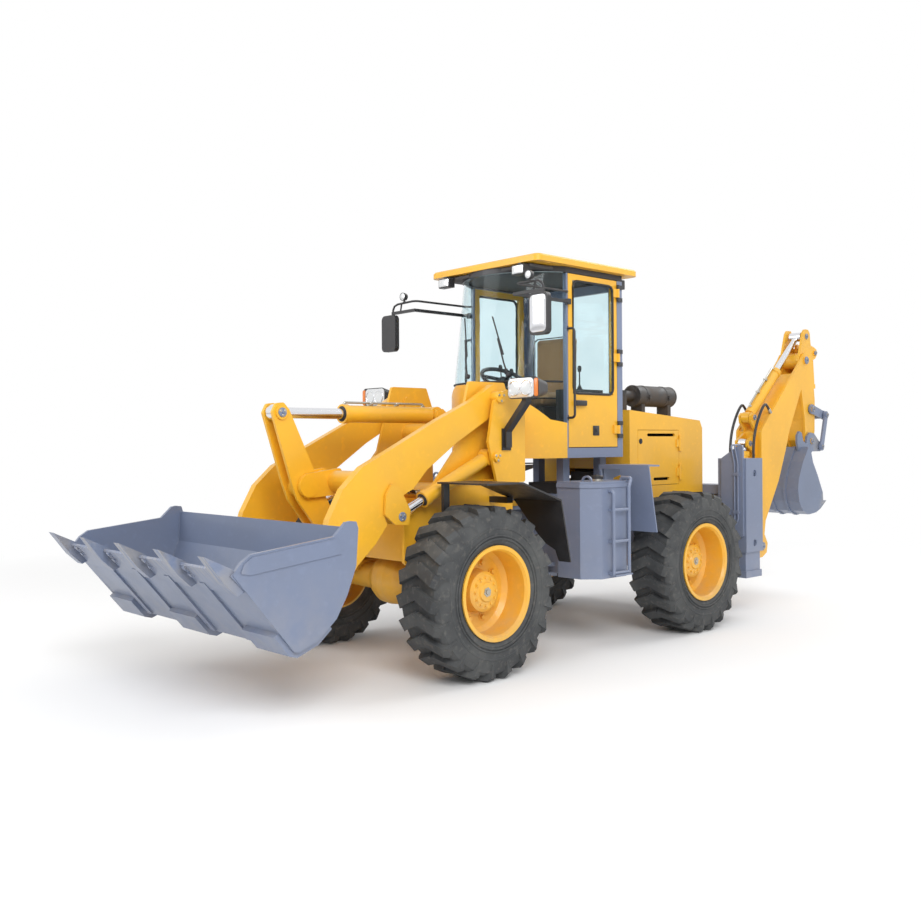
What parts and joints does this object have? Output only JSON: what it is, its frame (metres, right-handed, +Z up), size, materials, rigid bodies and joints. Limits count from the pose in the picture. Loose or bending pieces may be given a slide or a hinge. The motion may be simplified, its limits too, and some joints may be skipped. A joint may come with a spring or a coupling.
{
  "type": "backhoe loader",
  "caption": "Articulated wheel loader with a front bucket on a crank linkage, a closed cab, and a side-shifting digging arm with drop stabilisers behind.",
  "frame": {"origin": "on the ground, below the middle of the machine's bounding box", "axes": "+X forward to the loader bucket, +Y to the driver's left, +Z up"},
  "size_m": [7.838, 2.17, 3.05],
  "materials": {
    "paint": "gloss",
    "grey_steel": "satin",
    "black": "satin",
    "chrome": "polished",
    "glass": "clear",
    "tyre": "matte",
    "seat": "matte",
    "engine": "rough"
  },
  "bodies": {
    "chassis_rear": {"rear_frame": "grey_steel", "rear_axle": "paint", "tanks": "grey_steel", "ladders": "grey_steel", "rear_fenders": "grey_steel", "engine": "engine", "hood": "paint", "muffler": "black", "cab_frame": "grey_steel", "cab_cowl": "paint", "cab_glass": "glass", "cab_roof": "paint", "seat": "seat", "cab_console": "black", "cab_fittings": "black", "hoe_frame": "grey_steel"},
    "chassis_front": {"front_frame": "paint", "front_axle": "paint", "front_fenders": "black", "headlamps": "black"},
    "loader_arms": {"loader_arms": "paint"},
    "loader_bucket": {"loader_bucket": "grey_steel"},
    "bellcrank": {"bellcrank": "paint"},
    "bucket_link": {"bucket_link": "paint"},
    "tilt_barrel": {"tilt_barrel": "paint"},
    "tilt_rod": {"tilt_rod": "chrome"},
    "lift_barrels": {"lift_barrels": "paint"},
    "lift_rods": {"lift_rods": "chrome"},
    "door_left": {"door_left": "paint", "door_glass_left": "glass"},
    "door_right": {"door_right": "paint", "door_glass_right": "glass"},
    "engine_door_left": {"engine_door_left": "paint"},
    "engine_door_right": {"engine_door_right": "paint"},
    "stabiliser_left": {"stabiliser_left": "grey_steel"},
    "stabiliser_right": {"stabiliser_right": "grey_steel"},
    "hoe_carriage": {"hoe_carriage": "grey_steel"},
    "swing_post": {"swing_post": "paint"},
    "hoe_boom": {"hoe_boom": "paint"},
    "dipper": {"dipper": "paint"},
    "hoe_bucket": {"hoe_bucket": "grey_steel"},
    "hoe_rocker": {"hoe_rocker": "grey_steel"},
    "hoe_link": {"hoe_link": "grey_steel"},
    "boom_barrel": {"boom_barrel": "paint"},
    "boom_rod": {"boom_rod": "chrome"},
    "dipper_barrel": {"dipper_barrel": "paint"},
    "dipper_rod": {"dipper_rod": "chrome"},
    "bucket_barrel": {"bucket_barrel": "paint"},
    "bucket_rod": {"bucket_rod": "chrome"},
    "wheel_front_left": {"tyre_front_left": "tyre", "rim_front_left": "paint"},
    "wheel_front_right": {"tyre_front_right": "tyre", "rim_front_right": "paint"},
    "wheel_rear_left": {"tyre_rear_left": "tyre", "rim_rear_left": "paint"},
    "wheel_rear_right": {"tyre_rear_right": "tyre", "rim_rear_right": "paint"}
  },
  "joints": [
    {"name": "steering", "type": "hinge", "parent": "chassis_rear", "child": "chassis_front", "pos_m": [0.479, 0, 0.825], "axis": [0, 0, 1], "range_deg": [-30, 30]},
    {"name": "roll_front_left", "type": "hinge", "parent": "chassis_front", "child": "wheel_front_left", "pos_m": [1.729, 0.87, 0.5875], "axis": [0, 1, 0], "continuous": true},
    {"name": "roll_front_right", "type": "hinge", "parent": "chassis_front", "child": "wheel_front_right", "pos_m": [1.729, -0.87, 0.5875], "axis": [0, 1, 0], "continuous": true},
    {"name": "roll_rear_left", "type": "hinge", "parent": "chassis_rear", "child": "wheel_rear_left", "pos_m": [-0.771, 0.87, 0.5875], "axis": [0, 1, 0], "continuous": true},
    {"name": "roll_rear_right", "type": "hinge", "parent": "chassis_rear", "child": "wheel_rear_right", "pos_m": [-0.771, -0.87, 0.5875], "axis": [0, 1, 0], "continuous": true},
    {"name": "arm_lift", "type": "hinge", "parent": "chassis_front", "child": "loader_arms", "pos_m": [1.229, 0, 1.93], "axis": [0, -1, 0], "range_deg": [-12, 75]},
    {"name": "bucket_tip", "type": "hinge", "parent": "loader_arms", "child": "loader_bucket", "pos_m": [2.809, 0, 0.62], "axis": [0, -1, 0], "range_deg": [-95, 0]},
    {"name": "crank_swing", "type": "hinge", "parent": "loader_arms", "child": "bellcrank", "pos_m": [2.579, 0, 1.31], "axis": [0, -1, 0], "range_deg": [0, 47.52]},
    {"name": "link_swing", "type": "hinge", "parent": "bellcrank", "child": "bucket_link", "pos_m": [2.289, 0, 0.86], "axis": [0, -1, 0], "range_deg": [-66.52, 0]},
    {"name": "tilt_ram_swing", "type": "hinge", "parent": "chassis_front", "child": "tilt_barrel", "pos_m": [1.329, 0, 1.81], "axis": [0, -1, 0], "range_deg": [-13, 76]},
    {"name": "tilt_ram_stroke", "type": "slide", "parent": "tilt_barrel", "child": "tilt_rod", "axis": [1, 0, 0], "range_m": [-0.4377, 0.002]},
    {"name": "lift_ram_swing", "type": "hinge", "parent": "chassis_front", "child": "lift_barrels", "pos_m": [1.269, 0, 1.49], "axis": [0, -1, 0], "range_deg": [-11.86, 74.01]},
    {"name": "lift_ram_stroke", "type": "slide", "parent": "lift_barrels", "child": "lift_rods", "axis": [0.9142, 0, -0.4052], "range_m": [-0.0871, 0.534]},
    {"name": "door_left_swing", "type": "hinge", "parent": "chassis_rear", "child": "door_left", "pos_m": [-0.259, 0.5595, 2.25], "axis": [0, 0, 1], "range_deg": [0, 95]},
    {"name": "engine_door_left_swing", "type": "hinge", "parent": "chassis_rear", "child": "engine_door_left", "pos_m": [-1.221, 0.5105, 1.455], "axis": [0, 0, 1], "range_deg": [0, 80]},
    {"name": "stabiliser_left_drop", "type": "slide", "parent": "chassis_rear", "child": "stabiliser_left", "axis": [0, 0, 1], "range_m": [-0.42, 0]},
    {"name": "door_right_swing", "type": "hinge", "parent": "chassis_rear", "child": "door_right", "pos_m": [-0.259, -0.5595, 2.25], "axis": [0, 0, -1], "range_deg": [0, 95]},
    {"name": "engine_door_right_swing", "type": "hinge", "parent": "chassis_rear", "child": "engine_door_right", "pos_m": [-1.221, -0.5105, 1.455], "axis": [0, 0, -1], "range_deg": [0, 80]},
    {"name": "stabiliser_right_drop", "type": "slide", "parent": "chassis_rear", "child": "stabiliser_right", "axis": [0, 0, 1], "range_m": [-0.42, 0]},
    {"name": "side_shift", "type": "slide", "parent": "chassis_rear", "child": "hoe_carriage", "axis": [0, 1, 0], "range_m": [-0.84, 0]},
    {"name": "hoe_swing", "type": "hinge", "parent": "hoe_carriage", "child": "swing_post", "pos_m": [-2.151, 0.42, 0.75], "axis": [0, 0, 1], "range_deg": [-90, 90]},
    {"name": "boom_lower", "type": "hinge", "parent": "swing_post", "child": "hoe_boom", "pos_m": [-2.491, 0.42, 0.56], "axis": [0, -1, 0], "range_deg": [0, 95]},
    {"name": "dipper_swing", "type": "hinge", "parent": "hoe_boom", "child": "dipper", "pos_m": [-3.461, 0.42, 2.44], "axis": [0, -1, 0], "range_deg": [-110, 0]},
    {"name": "hoe_bucket_curl", "type": "hinge", "parent": "dipper", "child": "hoe_bucket", "pos_m": [-3.591, 0.42, 1.59], "axis": [0, -1, 0], "range_deg": [-80, 0]},
    {"name": "rocker_swing", "type": "hinge", "parent": "dipper", "child": "hoe_rocker", "pos_m": [-3.616, 0.42, 1.93], "axis": [0, -1, 0], "range_deg": [-53.11, 0]},
    {"name": "hoe_link_swing", "type": "hinge", "parent": "hoe_rocker", "child": "hoe_link", "pos_m": [-3.871, 0.42, 1.87], "axis": [0, -1, 0], "range_deg": [0, 57.35]},
    {"name": "boom_ram_swing", "type": "hinge", "parent": "swing_post", "child": "boom_barrel", "pos_m": [-2.339, 0.42, 0.7], "axis": [0, -1, 0], "range_deg": [0, 91.52]},
    {"name": "boom_ram_stroke", "type": "slide", "parent": "boom_barrel", "child": "boom_rod", "axis": [-0.15, 0, 0.9887], "range_m": [-0.002, 0.3112]},
    {"name": "dipper_ram_swing", "type": "hinge", "parent": "hoe_boom", "child": "dipper_barrel", "pos_m": [-2.541, 0.42, 1.83], "axis": [0, -1, 0], "range_deg": [-7.21, 0]},
    {"name": "dipper_ram_stroke", "type": "slide", "parent": "dipper_barrel", "child": "dipper_rod", "axis": [-0.7544, 0, 0.6564], "range_m": [-0.4418, 0.002]},
    {"name": "bucket_ram_swing", "type": "hinge", "parent": "dipper", "child": "bucket_barrel", "pos_m": [-3.801, 0.42, 2.54], "axis": [0, -1, 0], "range_deg": [0, 0.8]},
    {"name": "bucket_ram_stroke", "type": "slide", "parent": "bucket_barrel", "child": "bucket_rod", "axis": [-0.1039, 0, -0.9946], "range_m": [-0.2379, 0.002]}
  ],
  "couplings": [
    {"joint": "crank_swing", "follows": "bucket_tip", "ratio": -0.5},
    {"joint": "link_swing", "follows": "bucket_tip", "ratio": 0.7},
    {"joint": "tilt_ram_swing", "follows": "arm_lift", "ratio": 1},
    {"joint": "tilt_ram_stroke", "follows": "bucket_tip", "m_per_rad": 0.26279},
    {"joint": "lift_ram_swing", "follows": "arm_lift", "ratio": 0.98642},
    {"joint": "lift_ram_stroke", "follows": "arm_lift", "m_per_rad": 0.40644},
    {"joint": "rocker_swing", "follows": "hoe_bucket_curl", "ratio": 0.66359},
    {"joint": "hoe_link_swing", "follows": "hoe_bucket_curl", "ratio": -0.71652},
    {"joint": "boom_ram_swing", "follows": "boom_lower", "ratio": 0.96312},
    {"joint": "boom_ram_stroke", "follows": "boom_lower", "m_per_rad": 0.18647},
    {"joint": "dipper_ram_swing", "follows": "dipper_swing", "ratio": 0.06536},
    {"joint": "dipper_ram_stroke", "follows": "dipper_swing", "m_per_rad": 0.22907},
    {"joint": "bucket_ram_swing", "follows": "hoe_bucket_curl", "ratio": -0.00963},
    {"joint": "bucket_ram_stroke", "follows": "hoe_bucket_curl", "m_per_rad": 0.16895}
  ]
}
